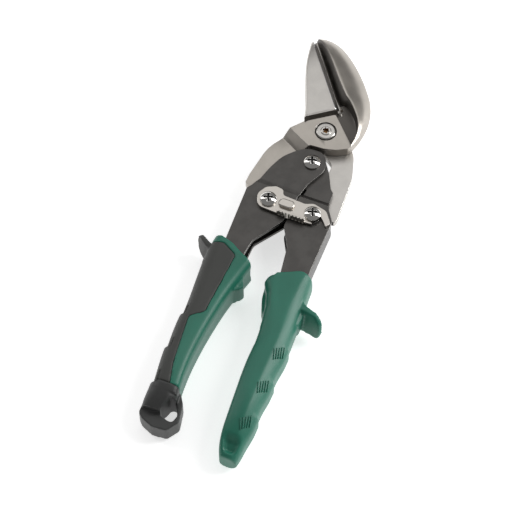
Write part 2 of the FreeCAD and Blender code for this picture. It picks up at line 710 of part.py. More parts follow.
# ================================================================== export
def export_all():
    os.makedirs("parts", exist_ok=True)
    nodes = {
        "front_jaw": front_jaw(),
        "rear_jaw": rear_jaw(),
        "main_bolt": main_bolt(),
        "head_washer": head_washer(),
        "main_washer": main_washer(),
        "main_nut": main_nut(),
        "left_handle": left_handle(),
        "right_handle": right_handle(),
        "left_washers": side_washers(left_link),
        "right_washers": side_washers(right_link),
        "middle_spacer": middle_spacer(),
        "left_link_screw": left_link_screw(),
        "right_link_screw": right_link_screw(),
        "middle_screw": middle_screw(),
        "left_link_nut": link_nut(left_link, nut_top),
        "right_link_nut": link_nut(right_link, nut_top),
        "middle_nut": link_nut(middle, mid_z - left_lobe_half - 0.15),
        "left_spring_pin": spring_pin(left_pin, left_lobe_half - sheet),
        "right_spring_pin": spring_pin(right_pin, right_lobe_half - sheet),
        "return_spring": return_spring(),
        "latch_plate": latch_plate(),
        "latch_button": latch_button(),
        "latch_washer": latch_washer(),
        "left_grip": left_grip(),
        "left_overmould": left_overmould(),
        "end_loop": end_loop(),
        "right_grip": right_grip(),
    }
    for name, shape in nodes.items():
        shape.exportStep("parts/" + name + ".step")
        box_ = shape.BoundBox
        print(f"{name:18s} valid {shape.isValid()} solids {len(shape.Solids)} volume {shape.Volume:9.1f}"
              f"  x {box_.XMin:.1f}..{box_.XMax:.1f} y {box_.YMin:.1f}..{box_.YMax:.1f}"
              f" z {box_.ZMin:.1f}..{box_.ZMax:.1f}")
    full_turn = round(handle_turn(jaw_travel), 2)
    print("handle ratio", round(handle_ratio, 4), "handle turn at full travel", full_turn)


export_all()
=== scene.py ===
# %% [markdown]
# # Aviation snips
# A pair of offset sheet-metal snips, closed and latched, lying on a pale table.
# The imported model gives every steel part, screw and grip in its real place. Here each
# of them gets the soft edges and the finish that a ground, pressed, plated or moulded
# part has. Lengths are metres.

import math

import bmesh
import bpy
from mathutils import Matrix, Vector
from mathutils.bvhtree import BVHTree
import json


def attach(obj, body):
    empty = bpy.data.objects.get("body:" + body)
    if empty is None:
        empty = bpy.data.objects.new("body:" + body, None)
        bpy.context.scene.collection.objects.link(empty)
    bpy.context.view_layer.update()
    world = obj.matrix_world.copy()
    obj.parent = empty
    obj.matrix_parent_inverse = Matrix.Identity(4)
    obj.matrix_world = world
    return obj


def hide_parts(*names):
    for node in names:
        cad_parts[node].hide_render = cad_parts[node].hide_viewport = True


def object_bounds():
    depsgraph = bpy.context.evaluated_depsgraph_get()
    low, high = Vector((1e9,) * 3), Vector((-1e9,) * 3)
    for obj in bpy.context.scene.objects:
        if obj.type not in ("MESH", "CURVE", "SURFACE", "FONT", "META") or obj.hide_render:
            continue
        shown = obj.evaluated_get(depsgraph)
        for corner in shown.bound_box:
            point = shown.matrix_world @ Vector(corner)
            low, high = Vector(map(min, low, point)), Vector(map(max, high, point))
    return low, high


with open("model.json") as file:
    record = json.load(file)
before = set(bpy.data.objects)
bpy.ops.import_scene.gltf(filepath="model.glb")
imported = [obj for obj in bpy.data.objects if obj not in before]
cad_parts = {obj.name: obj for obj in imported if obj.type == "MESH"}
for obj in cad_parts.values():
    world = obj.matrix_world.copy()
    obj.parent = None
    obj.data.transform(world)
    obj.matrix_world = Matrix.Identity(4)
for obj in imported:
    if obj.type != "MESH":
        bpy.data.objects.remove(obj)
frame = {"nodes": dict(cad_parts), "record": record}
NODES = frame["nodes"]
CAD_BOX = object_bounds()
MM = 0.001
SHARP = 32                            # degrees; a steeper turn counts as a corner
LINK_HALF, LINK_DROP, MIDDLE_DROP = 12.4, 51.8, 20.2      # screws, millimetres from the main bolt

# %% [markdown]
# ## Shader sums
# A finish is a tree of shader nodes. Written out one node at a time it is hard to read,
# so a small class stands for the output of a node, and ordinary sums on it add the Math
# nodes. A second class holds one material and makes any other node in one call.

# %% A value in a shader, with ordinary sums
class Flow:
    def __init__(self, finish, socket):
        self.finish = finish
        self.socket = socket

    def _sum(self, operation, first, second, clamp=False):
        return self.finish.node("ShaderNodeMath", {"operation": operation, "use_clamp": clamp},
                                {0: first, 1: second})

    def __add__(self, other):
        return self._sum("ADD", self, other)

    def __radd__(self, other):
        return self._sum("ADD", other, self)

    def __sub__(self, other):
        return self._sum("SUBTRACT", self, other)

    def __rsub__(self, other):
        return self._sum("SUBTRACT", other, self)

    def __mul__(self, other):
        return self._sum("MULTIPLY", self, other)

    def __rmul__(self, other):
        return self._sum("MULTIPLY", other, self)

    def clamped(self):
        return self._sum("ADD", self, 0.0, clamp=True)


# %% [markdown]
# The finish class also knows the three things that every part here needs: fine grain at
# a real scale, a mask that is bright along the edges, and a bump. The edge mask compares
# the surface's own direction with the one that a small rounded edge would have, so it
# needs no painting and works on any mesh.

# %% One material and its nodes
class Finish:
    def __init__(self, name):
        self.material = bpy.data.materials.new(name)
        self.material.use_nodes = True
        self.tree = self.material.node_tree
        self.tree.nodes.clear()
        self.place = self.node("ShaderNodeTexCoord", out="Object")
        self.facing = self.node("ShaderNodeNewGeometry", out="Normal")

    def node(self, kind, settings=None, values=None, out=0):
        made = self.tree.nodes.new(kind)
        for key, value in (settings or {}).items():
            if key == "stops":
                ramp = made.color_ramp
                while len(ramp.elements) < len(value):
                    ramp.elements.new(0.5)
                for stop, (spot, level) in zip(ramp.elements, value):
                    stop.position = spot
                    stop.color = (level, level, level, 1)
            else:
                setattr(made, key, value)
        for key, value in (values or {}).items():
            if isinstance(value, Flow):
                self.tree.links.new(value.socket, made.inputs[key])
            else:
                made.inputs[key].default_value = value
        return Flow(self, made.outputs[out])

    def mapped(self, centre=(0, 0, 0), turn=(0, 0, 0), stretch=(1, 1, 1)):
        moved = self.node("ShaderNodeVectorMath", {"operation": "SUBTRACT"},
                          {0: self.place, 1: centre})
        return self.node("ShaderNodeMapping", {"vector_type": "TEXTURE"},
                         {"Vector": moved, "Rotation": turn, "Scale": stretch})

    def noise(self, size, where=None, detail=3.0, rough=0.55):
        """Noise whose lumps are about size metres across."""
        return self.node("ShaderNodeTexNoise", {},
                         {"Vector": where or self.place, "Scale": 1 / size,
                          "Detail": detail, "Roughness": rough})

    def ramp(self, value, low, high):
        """0 below low, 1 above high, smooth between."""
        return self.node("ShaderNodeMapRange", {"interpolation_type": "SMOOTHSTEP"},
                         {"Value": value, "From Min": low, "From Max": high})

    def blend(self, mask, first, second):
        """Colour that goes from first to second as mask goes from 0 to 1."""
        made = self.tree.nodes.new("ShaderNodeMix")
        made.data_type = "RGBA"
        for index, value in ((0, mask), (6, first), (7, second)):
            if isinstance(value, Flow):
                self.tree.links.new(value.socket, made.inputs[index])
            elif index == 0:
                made.inputs[index].default_value = value
            else:
                made.inputs[index].default_value = (*value, 1)
        return Flow(self, made.outputs[2])

    def rounded(self, radius):
        return self.node("ShaderNodeBevel", {"samples": 4}, {"Radius": radius})

    def edges(self, radius, gain=3.0):
        """Bright where a rounded edge of that radius would turn away from the face."""
        dot = self.node("ShaderNodeVectorMath", {"operation": "DOT_PRODUCT"},
                        {0: self.rounded(radius), 1: self.facing}, out="Value")
        return ((1.0 - dot) * gain).clamped()

    def finish(self, colour, rough, metal=0.0, bump=None, depth=0.0, round_by=None,
               coat=0.0, coat_rough=0.2, sheen=0.0, specular=0.5, glow=0.0):
        fixed = {"Coat Weight": coat, "Coat Roughness": coat_rough, "Sheen Weight": sheen,
                 "Specular IOR Level": specular, "Emission Color": (1, 1, 1, 1),
                 "Emission Strength": glow}
        values = {"Roughness": rough, "Metallic": metal, **fixed}
        values["Base Color"] = colour if isinstance(colour, Flow) else (*colour, 1)
        normal = self.rounded(round_by) if round_by else None
        if bump is not None:
            bumped = {"Height": bump, "Distance": depth, "Strength": 1.0}
            if normal:
                bumped["Normal"] = normal
            normal = self.node("ShaderNodeBump", {}, bumped)
        if normal:
            values["Normal"] = normal
        shader = self.node("ShaderNodeBsdfPrincipled", {}, values)
        output = self.tree.nodes.new("ShaderNodeOutputMaterial")
        self.tree.links.new(shader.socket, output.inputs["Surface"])
        return self.material


# %% [markdown]
# ## Steel
# The jaws are forged and then ground. Grinding leaves fine scratches that run one way,
# and the surface is satin: bright at a grazing light and a little blotchy. Along the edges
# the colour is painted lighter, a painted highlight, and the roughness is a little lower there.
# Long thin noise gives the scratches, and a larger noise gives the blotches.

# %% Ground and satin steels
def ground_steel(name, tone, turn, base_rough, scratch=0.05):
    f = Finish(name)
    along = f.mapped(turn=(0, 0, turn), stretch=(1, 14, 1))
    lines = f.noise(0.22 * MM, along, detail=4.0, rough=0.7)
    cloud = f.noise(7 * MM, detail=3.0)
    fine = f.noise(0.5 * MM, detail=4.0, rough=0.65)
    edge = f.edges(0.45 * MM, gain=4.0)
    shade = f.ramp(cloud * 0.7 + fine * 0.3, 0.3, 0.75)
    colour = f.blend(shade, tuple(c * 0.86 for c in tone), tone)
    # painted highlight: lighter colour along the edges
    colour = f.blend(edge * 0.7, colour, (0.86, 0.84, 0.80))
    rough = base_rough + (lines - 0.5) * 0.16 + (cloud - 0.5) * 0.10 - edge * 0.1
    height = lines * 0.6 + fine * 0.4
    return f.finish(colour, rough, metal=1.0, bump=height, depth=scratch * 0.1 * MM, round_by=0.35 * MM)


WARM_STEEL = ground_steel("ground_warm_steel", (0.50, 0.465, 0.42), math.radians(36), 0.34)
PALE_STEEL = ground_steel("pale_satin_steel", (0.66, 0.635, 0.60), math.radians(36), 0.40)
TURNED_STEEL = ground_steel("turned_steel", (0.60, 0.58, 0.55), 0.0, 0.26)
BRIGHT_EDGE = ground_steel("bright_ground_edge", (0.80, 0.80, 0.80), math.radians(36), 0.22)
# dark steel for the blade's inner face and the pocket floors: painted shade
PAINTED_SHADE_STEEL = ground_steel("painted_shade_steel", (0.135, 0.125, 0.115), math.radians(36), 0.42)
BRASS_BROWN = ground_steel("socket_brown", (0.30, 0.17, 0.07), 0.0, 0.35)
print("steels:", WARM_STEEL.name, PALE_STEEL.name, TURNED_STEEL.name)

# %% [markdown]
# ## Plated and blackened parts
# The screws are chrome plated, the latch is nickel plated over a rolled sheet, and the
# nuts and the spring are blackened. The pressed handles carry a dark gunmetal coat that
# is nearly black. On all of these the colour is painted lighter along the edges, a
# painted highlight.

# %% Plating, black oxide and gunmetal
def plating(name, tone, base_rough):
    f = Finish(name)
    cloud = f.noise(1.6 * MM, detail=3.0)
    fine = f.noise(0.15 * MM, detail=2.0)
    edge = f.edges(0.25 * MM, gain=3.0)
    # painted highlight: lighter colour along the edges
    colour = f.blend(edge * 0.5, f.blend(cloud, tuple(c * 0.9 for c in tone), tone), (0.9, 0.88, 0.85))
    rough = base_rough + (cloud - 0.5) * 0.08 + (fine - 0.5) * 0.04
    return f.finish(colour, rough, metal=1.0, bump=cloud + fine * 0.2, depth=0.012 * MM,
                    round_by=0.2 * MM)


def coated_steel(name, tone, edge_highlight_tone, base_rough, metal):
    f = Finish(name)
    cloud = f.noise(9 * MM, detail=4.0)
    pebble = f.noise(0.35 * MM, detail=3.0, rough=0.6)
    edge = f.edges(0.5 * MM, gain=3.5)
    colour = f.blend(f.ramp(cloud, 0.35, 0.7), tuple(c * 0.8 for c in tone), tone)
    # painted highlight: lighter colour along the edges, in patches
    colour = f.blend(edge * f.ramp(pebble, 0.25, 0.6), colour, edge_highlight_tone)
    rough = base_rough + (cloud - 0.5) * 0.12 + (pebble - 0.5) * 0.1
    return f.finish(colour, rough, metal=metal, bump=pebble, depth=0.02 * MM, round_by=0.4 * MM)


CHROME = plating("screw_plating", (0.78, 0.76, 0.73), 0.10)
NICKEL = plating("latch_plating", (0.62, 0.585, 0.54), 0.30)
GUNMETAL = coated_steel("gunmetal_coat", (0.105, 0.10, 0.095), (0.40, 0.39, 0.37), 0.36, 0.85)
BLACKENED = coated_steel("black_oxide", (0.035, 0.034, 0.033), (0.12, 0.12, 0.12), 0.42, 0.8)
print("plated:", CHROME.name, NICKEL.name, GUNMETAL.name, BLACKENED.name)

# %% [markdown]
# ## Moulded grips
# The grips are moulded in a green plastic with a fine spark-eroded grain. The left one
# has a soft black cover moulded over it, which is duller and has a coarser skin, and a
# hard black end with the eye for a tether.

# %% Plastic and rubber
def moulded(name, tone, base_rough, grain, grain_depth, sheen=0.0, specular=0.5):
    f = Finish(name)
    cloud = f.noise(14 * MM, detail=3.0)
    skin = f.noise(grain, detail=2.0, rough=0.5)
    edge = f.edges(0.7 * MM, gain=2.0)
    colour = f.blend(f.ramp(cloud, 0.3, 0.7), tuple(c * 0.92 for c in tone), tone)
    # painted highlight: lighter colour along the edges
    colour = f.blend(edge * 0.25, colour, tuple(min(1.0, c * 1.8 + 0.02) for c in tone))
    rough = base_rough + (skin - 0.5) * 0.14 + (cloud - 0.5) * 0.05
    return f.finish(colour, rough, bump=skin, depth=grain_depth, sheen=sheen, specular=specular)


GREEN = moulded("green_plastic", (0.020, 0.172, 0.115), 0.40, 0.28 * MM, 0.014 * MM)
RUBBER = moulded("black_soft_cover", (0.055, 0.056, 0.052), 0.62, 0.22 * MM, 0.03 * MM, sheen=0.08)
HARD_BLACK = moulded("black_plastic", (0.042, 0.043, 0.042), 0.44, 0.3 * MM, 0.02 * MM)
print("moulded:", GREEN.name, RUBBER.name, HARD_BLACK.name)

FINISH_OF_SLOT = {
    "jaw_steel": WARM_STEEL, "blade_steel": PALE_STEEL, "handle_steel": GUNMETAL,
    "screw_chrome": CHROME, "bolt_steel": TURNED_STEEL, "black_steel": BLACKENED,
    "latch_nickel": NICKEL, "green_plastic": GREEN, "black_rubber": RUBBER,
    "black_plastic": HARD_BLACK,
}
SLOT_OF_NODE = {row["node"]: row["material_slot"] for row in frame["record"]["subparts"]}
BODY_OF_NODE = {name: body for body, names in frame["record"]["behaviour"]["bodies"].items()
                for name in names}

# %% [markdown]
# ## Which parts stay as they are
# Small hidden parts, such as nuts, washers and pins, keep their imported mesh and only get
# their finish. The parts that show get a softened copy further down, which then stands
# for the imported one.

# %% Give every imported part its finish
def dress(node):
    mesh = NODES[node].data
    mesh.materials.clear()
    mesh.materials.append(FINISH_OF_SLOT[SLOT_OF_NODE[node]])


for part in NODES:
    dress(part)
print("dressed", len(NODES), "parts")


# %% [markdown]
# ## Softened copies
# A pressed or ground part never has a knife edge where two faces meet, and the thin
# bright line on such an edge is most of what makes metal look like metal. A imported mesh
# is loose triangles, so a copy is merged, its flat faces are joined up again, and a
# bevel goes round the edges that are really corners.

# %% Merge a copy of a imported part
def merged_mesh(node):
    shell = bmesh.new()
    shell.from_mesh(NODES[node].data)
    bmesh.ops.remove_doubles(shell, verts=shell.verts, dist=0.002 * MM)
    bmesh.ops.dissolve_degenerate(shell, edges=shell.edges, dist=0.001 * MM)
    bmesh.ops.dissolve_limit(shell, angle_limit=math.radians(0.4), verts=shell.verts,
                             edges=shell.edges, delimit=set())
    return shell


def to_piece(name, shell, body, material, stands_for=(), smooth_angle=SHARP):
    mesh = bpy.data.meshes.new(name)
    shell.to_mesh(mesh)
    shell.free()
    for polygon in mesh.polygons:
        polygon.use_smooth = True
    mesh.set_sharp_from_angle(angle=math.radians(smooth_angle))
    piece = bpy.data.objects.new(name, mesh)
    bpy.context.scene.collection.objects.link(piece)
    mesh.materials.append(material)
    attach(piece, body)
    if stands_for:
        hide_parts(*stands_for)
    return piece


def softened(node, width, segments=2, angle=SHARP, first=None, recess=None):
    slot = SLOT_OF_NODE[node]
    shell = merged_mesh(node)
    if first:
        first(shell)
    piece = to_piece(node + "_soft", shell, BODY_OF_NODE[node], FINISH_OF_SLOT[slot], (node,))
    if recess:
        piece.data.materials.append(recess)
    bevel = piece.modifiers.new("edge", "BEVEL")
    bevel.width = width
    bevel.segments = segments
    bevel.limit_method = "ANGLE"
    bevel.angle_limit = math.radians(angle)
    bevel.use_clamp_overlap = True
    bevel.harden_normals = False
    return piece


# %% [markdown]
# ## Floor, light and camera
# The tool lies on a plain pale floor under large soft lamps. A big lamp overhead fills
# the flat steel. A long lamp on each side gives the bright bands down the grips.

# %% Floor
def pale_floor():
    shell = bmesh.new()
    bmesh.ops.create_grid(shell, x_segments=1, y_segments=1, size=6.0)
    mesh = bpy.data.meshes.new("floor")
    shell.to_mesh(mesh)
    shell.free()
    floor = bpy.data.objects.new("floor", mesh)
    bpy.context.scene.collection.objects.link(floor)
    f = Finish("pale_floor")
    mesh.materials.append(f.finish((0.9, 0.9, 0.9), 0.9, specular=0.1, glow=0.62))
    return floor


FLOOR = pale_floor()
FLOOR.location.z = CAD_BOX[0][2] - 0.02 * MM


# %% Lamps and surroundings
def soft_lamp(name, place, aim, size, power, tint=(1, 1, 1)):
    lamp = bpy.data.lights.new(name, "AREA")
    lamp.shape = "RECTANGLE"
    lamp.size = size[0]
    lamp.size_y = size[1]
    lamp.energy = power
    lamp.color = tint
    holder = bpy.data.objects.new(name, lamp)
    holder.location = place
    holder.rotation_euler = (Vector(aim) - Vector(place)).to_track_quat("-Z", "Y").to_euler()
    bpy.context.scene.collection.objects.link(holder)
    return holder


MIDDLE = Vector((-0.0035, -0.0785, 0.0))
soft_lamp("lamp_top", (-0.25, 0.62, 1.25), MIDDLE, (1.3, 1.0), 3.2)
soft_lamp("lamp_left", (-1.1, 0.1, 0.7), MIDDLE, (0.35, 1.3), 3.0)
soft_lamp("lamp_right", (0.85, 0.42, 0.60), MIDDLE, (0.34, 1.2), 10.0)

world = bpy.data.worlds.new("studio")
world.use_nodes = True
world.node_tree.nodes["Background"].inputs["Color"].default_value = (1.0, 1.0, 1.0, 1)
world.node_tree.nodes["Background"].inputs["Strength"].default_value = 0.22
bpy.context.scene.world = world
bpy.context.scene.view_settings.view_transform = "Standard"


# %% Camera
def studio_camera(target, distance, elevation, turn, lens):
    lens_data = bpy.data.cameras.new("camera")
    lens_data.lens = lens
    lens_data.sensor_width = 36.0
    camera = bpy.data.objects.new("camera", lens_data)
    high = math.radians(elevation)
    side = math.radians(turn)
    away = Vector((math.sin(side) * math.cos(high), -math.cos(side) * math.cos(high), math.sin(high)))
    camera.location = target + away * distance
    camera.rotation_euler = (-away).to_track_quat("-Z", "Y").to_euler()
    bpy.context.scene.collection.objects.link(camera)
    bpy.context.scene.camera = camera
    return camera


CAMERA = studio_camera(MIDDLE, 1.0, 60.0, 22.0, 128.9)
print("camera at", tuple(round(c, 3) for c in CAMERA.location))

# %% [markdown]
# ## Steel parts with soft edges
# The handles are pressed from sheet, so the long corner between a cheek and the outer
# wall is a generous bend and not an edge. It is rounded first, and by much more than the
# sheared edges that the bevel finishes.

# %% Round the long outer corner of a pressed handle
def press_bend(side, y_top, radius):
    def bend(shell):
        shell.normal_update()
        corner = []
        for edge in shell.edges:
            if len(edge.link_faces) != 2:
                continue
            normals = [face.normal for face in edge.link_faces]
            flat = [n for n in normals if abs(n.z) > 0.9]
            wall = [n for n in normals if n.x * side > 0.8]
            middle = (edge.verts[0].co + edge.verts[1].co) / 2
            if flat and wall and middle.y < y_top * MM and edge.calc_length() > 4 * MM:
                corner.append(edge)
        made = bmesh.ops.bevel(shell, geom=corner, offset=radius, segments=6, profile=0.5,
                               affect="EDGES", material=-1, clamp_overlap=True)
        print("bend:", len(corner), "edges into", len(made["faces"]), "faces")
    return bend


softened("left_handle", 0.28 * MM, first=press_bend(-1, -44.0, 1.7 * MM))
softened("right_handle", 0.28 * MM, first=press_bend(1, -48.0, 1.7 * MM))

# %% [markdown]
# The faces of a driver recess get a second material. In the small screws it is black, a
# painted shade for the deep recess, and in the main bolt's socket it is a brass brown.

# %% Mark the faces of a driver recess
def driver_recess(x, y, radius, z_low, depth):
    """Second material for the steep and deep faces near the axis, above z_low."""
    def mark(shell):
        shell.normal_update()
        top = max(v.co.z for v in shell.verts) / MM
        count = 0
        for face in shell.faces:
            centre = face.calc_center_median() / MM
            off_axis = math.hypot(centre.x - x, centre.y - y)
            steep = abs(face.normal.z) < 0.45
            if off_axis < radius and centre.z > z_low and (steep or centre.z < top - depth):
                face.material_index = 1
                count += 1
        print("recess:", count, "faces")
    return mark


# %% Soften the other steel parts
for part, width, place, inside in (
    ("latch_plate", 0.18, None, None), ("head_washer", 0.05, None, None),
    ("main_bolt", 0.12, (0.0, 0.0, 3.0, 15.0, 0.9), BRASS_BROWN),
    # black in these screw recesses is painted shade
    ("left_link_screw", 0.12, (-LINK_HALF, -LINK_DROP, 2.6, 20.0, 1.0), BLACKENED),
    ("right_link_screw", 0.12, (LINK_HALF, -LINK_DROP, 2.6, 20.0, 1.0), BLACKENED),
    ("middle_screw", 0.12, (0.0, -MIDDLE_DROP, 2.6, 18.0, 1.0), BLACKENED),
):
    softened(part, width * MM, first=driver_recess(*place) if place else None, recess=inside)
    print("softened", part)

# %% Cut a shell across and close the cut
def cut_away(shell, point, normal):
    """Removes what lies beyond a plane (millimetres) and closes the cut."""
    geometry = shell.verts[:] + shell.edges[:] + shell.faces[:]
    cut = bmesh.ops.bisect_plane(shell, geom=geometry, plane_co=Vector(point) * MM,
                                 plane_no=Vector(normal), clear_outer=True)
    rim = [item for item in cut["geom_cut"] if isinstance(item, bmesh.types.BMEdge)]
    bmesh.ops.holes_fill(shell, edges=rim, sides=0)
    return shell


# %% [markdown]
# ## The two blades
# Each blade is a smooth forged shape with a few crisp lines: the ridge, the cutting edge
# and the ground strip beside it. A handful of cross sections is bridged into a cage. A
# subdivision surface rounds the cage, and creases keep the crisp lines crisp. The blades
# lean to the left of the handles, so the sections are given along and across the cut.

# %% Cage of a blade from cross sections
BLADE_LEAN = math.radians(36.3)
FRONT_FLOOR, REAR_TOP, REAR_FLOOR = 13.7, 13.4, 7.4


def on_blade(v, u, z):
    return Vector((u * math.cos(BLADE_LEAN) - v * math.sin(BLADE_LEAN),
                   u * math.sin(BLADE_LEAN) + v * math.cos(BLADE_LEAN), z))


def cage(sections, creases, ring_creases, strips):
    """Bridged cage. creases: one for each corner; strips: {corner: material of the strip after it}."""
    shell = bmesh.new()
    mark = shell.edges.layers.float.new("crease_edge")
    rings = []
    for section in sections:
        count = len(section)
        ring = bmesh.ops.create_circle(shell, segments=count, radius=1.0, cap_ends=False)["verts"]
        for vertex, spot in zip(ring, section):
            vertex.co = on_blade(*spot) * MM
        rings.append(ring)
    for first, second in zip(rings, rings[1:]):
        edges = [e for e in shell.edges if all(v in first for v in e.verts)
                 or all(v in second for v in e.verts)]
        bmesh.ops.bridge_loops(shell, edges=edges)
    for ring in (rings[0], rings[-1]):
        rim = [e for e in shell.edges if all(v in ring for v in e.verts)]
        bmesh.ops.contextual_create(shell, geom=rim)
    place = {vertex: (i, j) for i, ring in enumerate(rings) for j, vertex in enumerate(ring)}
    for edge in shell.edges:
        (i0, j0), (i1, _) = (place[v] for v in edge.verts)
        if i0 == i1:
            edge[mark] = ring_creases.get(i0 if i0 < len(rings) - 1 else -1, 0.0)
        else:
            edge[mark] = creases[j0]
    for face in shell.faces:
        corners = {place[v][1] for v in face.verts}
        if len({place[v][0] for v in face.verts}) < 2:
            continue
        for corner, index in strips.items():
            if corners == {corner, (corner + 1) % len(sections[0])}:
                face.material_index = index
    bmesh.ops.recalc_face_normals(shell, faces=shell.faces)
    return shell


def rounded_cage(name, shell, body, materials):
    piece = to_piece(name, shell, body, materials[0], smooth_angle=180)
    for material in materials[1:]:
        piece.data.materials.append(material)
    surface = piece.modifiers.new("round", "SUBSURF")
    surface.levels = 3
    surface.render_levels = 3
    return piece


# %% [markdown]
# The right blade is a hooked beak. Its inner face gets a dark steel as painted shade, and
# its back is ground to a satin. Behind the cut it carries on as the wall of the pocket.

# %% Right blade
beak = []
for v, left, ridge, top, drop, edge in (
    (62.9, 12.15, 12.9, 16.0, 0.4, 14.0), (60.9, 12.15, 13.5, 18.6, 1.0, 19.2),
    (55.6, 12.15, 14.3, 20.9, 1.8, 23.6), (49.0, 12.15, 14.9, 22.6, 2.2, 26.3),
    (39.0, 12.15, 15.2, 23.5, 2.4, 28.6), (27.0, 12.15, 15.3, 23.9, 2.5, 29.8),
    (16.3, 12.15, 16.1, 24.0, 2.5, 29.4), (15.2, 15.8, 16.8, 24.0, 2.5, 29.3),
    (7.7, 17.2, 18.1, 23.3, 2.0, 27.8), (-1.0, 17.4, 18.4, 22.1, 1.4, 23.6),
    (-8.0, 13.4, 14.6, 20.5, 0.6, 17.4), (-12.9, 8.4, 9.4, 19.6, 0.1, 11.0),
):
    swell = ridge + 0.55 * (edge - ridge)
    beak.append([(v, left, FRONT_FLOOR), (v, ridge, top), (v, swell, top - drop),
                 (v, edge, FRONT_FLOOR + 1.6), (v, edge - 0.4, FRONT_FLOOR)])
# strip 0, the inner face, gets the dark steel: painted shade
beak_shell = cage(beak, (1.0, 0.85, 0.0, 0.45, 1.0), {0: 0.6, 6: 0.0, 7: 0.0, -1: 1.0}, {0: 1})
RIGHT_BLADE = rounded_cage("right_blade", beak_shell, "front_jaw",
                           (WARM_STEEL, PAINTED_SHADE_STEEL))
print("right blade", len(RIGHT_BLADE.data.vertices), "cage points")

# %% [markdown]
# The left blade is straight. Its flat face is satin, and the strip that slopes down to
# the cut is ground bright.

# %% Left blade
BLADE_LOW = REAR_FLOOR - 2.0
straight = []
for v, left, face, top, lap in (
    (62.6, 8.6, 10.2, 15.2, 0.3), (57.6, 6.4, 9.0, 17.6, 1.2), (51.0, 3.2, 8.8, 18.8, 2.4),
    (44.0, 0.5, 8.8, 19.2, 2.4), (33.5, -2.5, 8.9, 19.2, 2.4), (22.0, -5.1, 9.0, 19.2, 2.4),
    (12.9, -8.4, 9.2, 19.2, 2.4),
):
    straight.append([(v, left + 0.6, BLADE_LOW), (v, left, BLADE_LOW + 1.2), (v, left, top - 1.2),
                     (v, left + 0.8, top - 0.3), (v, face, top), (v, 11.1, max(top - 1.8, 13.8)),
                     (v, 11.45, REAR_TOP),
                     (v, 11.8 + lap, REAR_TOP), (v, 10.8 + lap, BLADE_LOW + 1.5)])
straight_shell = cage(straight, (0.8, 0.8, 0.7, 0.7, 0.95, 1.0, 1.0, 1.0, 1.0),
                      {0: 0.8, -1: 1.0}, {4: 1})
LEFT_BLADE = rounded_cage("left_blade", straight_shell, "rear_jaw",
                          (PALE_STEEL, BRIGHT_EDGE))
print("left blade", len(LEFT_BLADE.data.vertices), "cage points")


# %% [markdown]
# The rest of each jaw is its imported mesh without the blade: the copy is cut across, the
# blade's piece takes over, and the floor of the pocket gets the dark steel as painted shade.

# %% Plates and arms of the jaws
def jaw_rest(node, cut_at, dark_z, dark_from, side_cut=None):
    shell = merged_mesh(node)
    ahead = on_blade(1, 0, 0)
    cut_away(shell, ahead * cut_at, ahead)
    if side_cut:
        across = on_blade(0, 1, 0)
        cut_away(shell, across * side_cut, across)
    bmesh.ops.bisect_plane(shell, geom=shell.verts[:] + shell.edges[:] + shell.faces[:],
                           plane_co=ahead * dark_from * MM, plane_no=ahead)
    shell.normal_update()
    dark = 0
    # flat pocket floor faces get the dark steel as painted shade
    for face in shell.faces:
        centre = face.calc_center_median() / MM
        if face.normal.z > 0.9 and abs(centre.z - dark_z) < 0.2 and centre.dot(ahead) > dark_from:
            face.material_index = 1
            dark += 1
    slot = SLOT_OF_NODE[node]
    piece = to_piece(node + "_plate", shell, BODY_OF_NODE[node], FINISH_OF_SLOT[slot], (node,))
    piece.data.materials.append(PAINTED_SHADE_STEEL)
    bevel = piece.modifiers.new("edge", "BEVEL")
    bevel.width = 0.25 * MM
    bevel.segments = 2
    bevel.limit_method = "ANGLE"
    bevel.angle_limit = math.radians(SHARP)
    # the count printed as left as forged is the pocket floor faces given painted shade
    print(piece.name, len(piece.data.polygons), "faces,", dark, "left as forged")
    return piece


jaw_rest("front_jaw", 15.6, 16.3, -30.0, side_cut=17.9)
jaw_rest("rear_jaw", 13.3, REAR_TOP, 5.0)

# %% [markdown]
# ## The grips
# A moulded grip has no sharp corners anywhere: its fins and guards run into the body in
# small fillets. A voxel remesh of the merged parts, followed by a little smoothing, gives
# just that. Then the sides are pulled into the moulder's real section: boxy on the side
# where the top panel ends in a crease, and full and round on the other.

# %% Remesh a closed shell and smooth it
def remeshed(shell, voxel, rounds):
    mesh = bpy.data.meshes.new("raw")
    shell.to_mesh(mesh)
    shell.free()
    raw = bpy.data.objects.new("raw", mesh)
    bpy.context.scene.collection.objects.link(raw)
    remesh = raw.modifiers.new("remesh", "REMESH")
    remesh.mode = "VOXEL"
    remesh.voxel_size = voxel
    smooth = raw.modifiers.new("smooth", "SMOOTH")
    smooth.factor = 0.5
    smooth.iterations = rounds
    graph = bpy.context.evaluated_depsgraph_get()
    done = bpy.data.meshes.new_from_object(raw.evaluated_get(graph))
    bpy.data.objects.remove(raw)
    bpy.data.meshes.remove(mesh)
    result = bmesh.new()
    result.from_mesh(done)
    bpy.data.meshes.remove(done)
    return result


def ease(value, low, high):
    """0 at low, 1 at high, smooth between; low may be the larger one."""
    t = min(1.0, max(0.0, (value - low) / (high - low)))
    return t * t * (3 - 2 * t)


def between(table, y):
    """Straight-line value from rows of (y, values...), y falling down the rows."""
    if y >= table[0][0]:
        return table[0][1:]
    for upper, lower in zip(table, table[1:]):
        if y >= lower[0]:
            t = (upper[0] - y) / (upper[0] - lower[0])
            return tuple(a + (b - a) * t for a, b in zip(upper[1:], lower[1:]))
    return table[-1][1:]


# %% [markdown]
# A section is described by its middle and half sizes. A point on it is pushed along its
# own ray: the sum of powers 3 is a round-cornered box, and the sum of higher powers is a
# squarer one, so the ratio of the two says how far the point has to move.

# %% Square up or round off one side of a section
def power_sum(p, q, k):
    return (abs(p) ** k + abs(q) ** k) ** (1 / k) if abs(p) + abs(q) > 0 else 1.0


